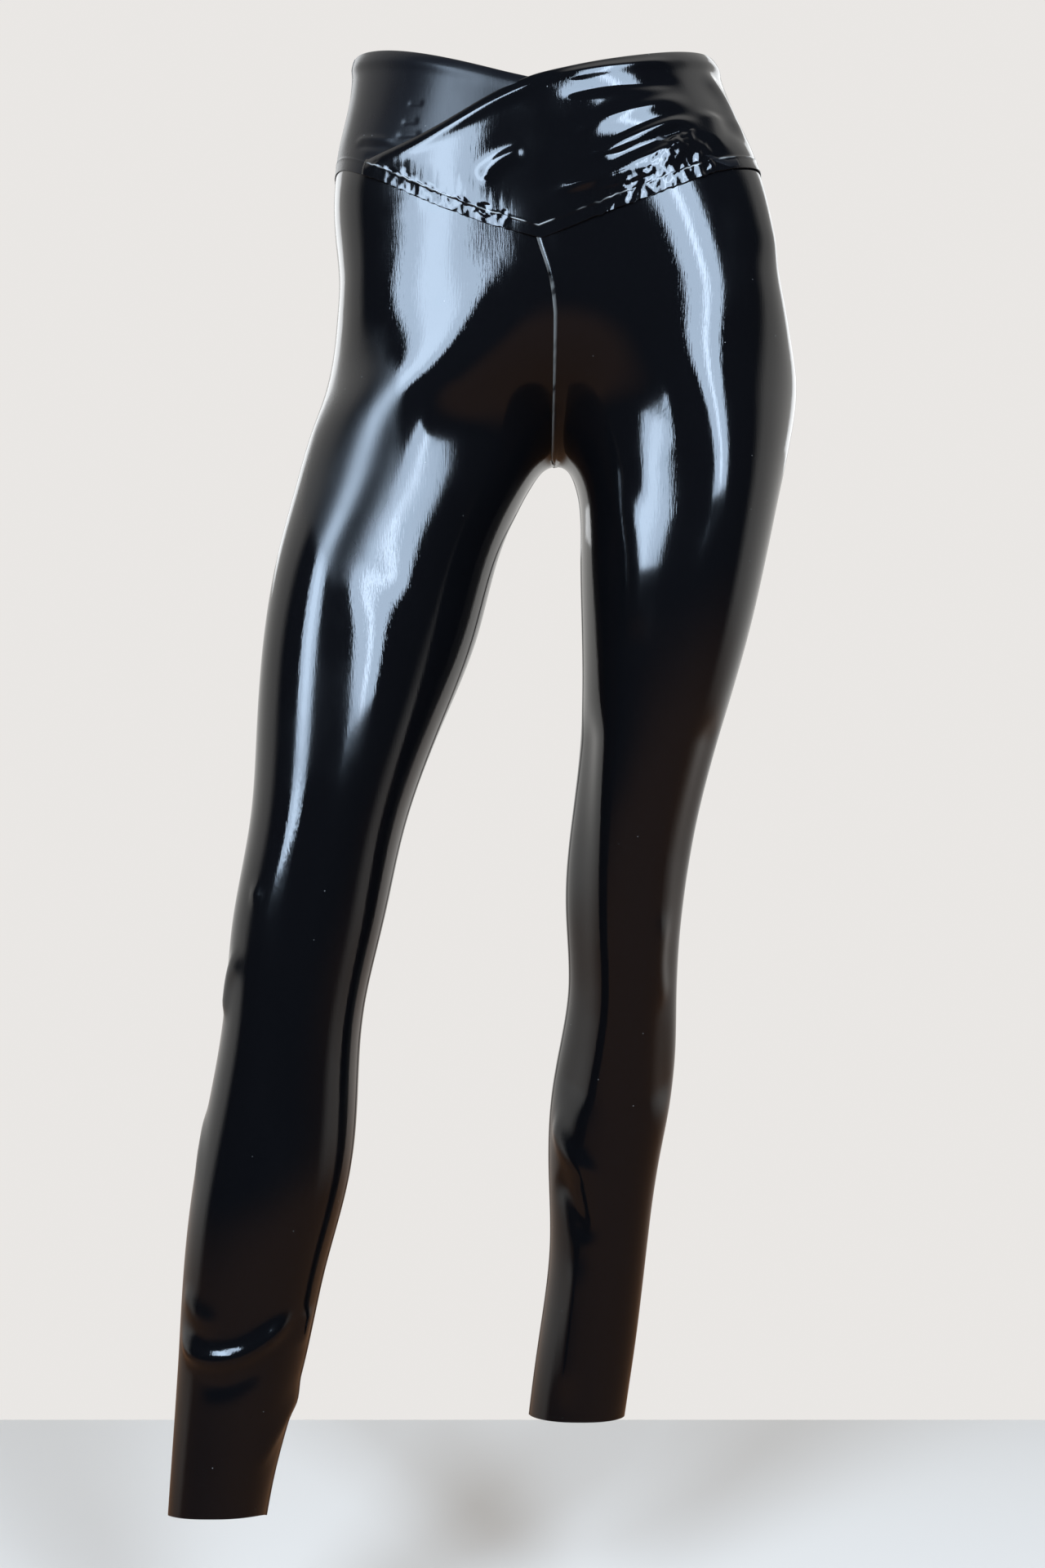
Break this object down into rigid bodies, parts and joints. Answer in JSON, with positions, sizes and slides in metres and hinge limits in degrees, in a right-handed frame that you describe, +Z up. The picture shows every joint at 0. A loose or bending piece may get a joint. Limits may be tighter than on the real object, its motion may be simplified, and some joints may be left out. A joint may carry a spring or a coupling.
{
  "type": "latex trousers",
  "caption": "Close-fitting black latex trousers, worn shape, with a crossed wrap waistband and V seam; hollow, with open waist and hems.",
  "frame": {"origin": "middle of the waist opening, where the wearer holds the trousers up", "axes": "+X towards the wearer's left, -Y to the front, +Z up out of the waist"},
  "size_m": [0.4048, 0.2899, 0.9623],
  "materials": {
    "latex": "high gloss, polished with silicone"
  },
  "bodies": {
    "root": {"back_band": "latex", "leg_left_panel": "latex", "leg_right_panel": "latex", "wrap_over": "latex", "wrap_under": "latex"}
  },
  "joints": []
}
